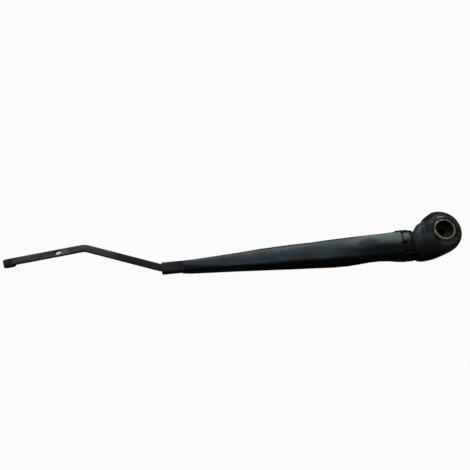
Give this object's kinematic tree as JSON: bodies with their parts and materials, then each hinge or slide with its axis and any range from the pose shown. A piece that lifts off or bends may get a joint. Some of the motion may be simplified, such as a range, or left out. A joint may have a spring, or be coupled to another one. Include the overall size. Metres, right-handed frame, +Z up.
{
  "type": "wiper arm",
  "caption": "Black windscreen wiper arm: die-cast head with spindle bore, hinged pressed-steel channel over a tension spring, and a cranked flat rod ending in a hook.",
  "frame": {"origin": "centre of the spindle bore at the underside of the head", "axes": "+Z up the spindle, away from the glass; the arm runs towards -X; Y across the arm"},
  "size_m": [0.5841, 0.0625, 0.025],
  "materials": {
    "cast_paint": "satin, worn",
    "channel_paint": "satin",
    "rod_paint": "satin",
    "bush_plastic": "matte",
    "pin_steel": "dull",
    "spring_steel": "dull, greased"
  },
  "bodies": {
    "head_body": {"head": "cast_paint", "hinge_bush_far": "bush_plastic", "hinge_bush_near": "bush_plastic", "spring_pin": "pin_steel"},
    "arm_body": {"channel": "channel_paint", "rod": "rod_paint", "hinge_pin": "channel_paint", "spring": "spring_steel"},
    "hook_body": {"spring_hook": "spring_steel"}
  },
  "joints": [
    {"name": "arm_lift", "type": "hinge", "parent": "head_body", "child": "arm_body", "pos_m": [-0.048, -0.0113, 0.0155], "axis": [0, 1, 0], "range_deg": [0, 95], "deforming": ["spring"]},
    {"name": "hook_swing", "type": "hinge", "parent": "head_body", "child": "hook_body", "pos_m": [-0.0477, -0.0113, 0.0083], "axis": [0, 1, 0], "range_deg": [0, 92]}
  ],
  "couplings": [
    {"joint": "hook_swing", "follows": "arm_lift", "ratio": 0.9676}
  ]
}
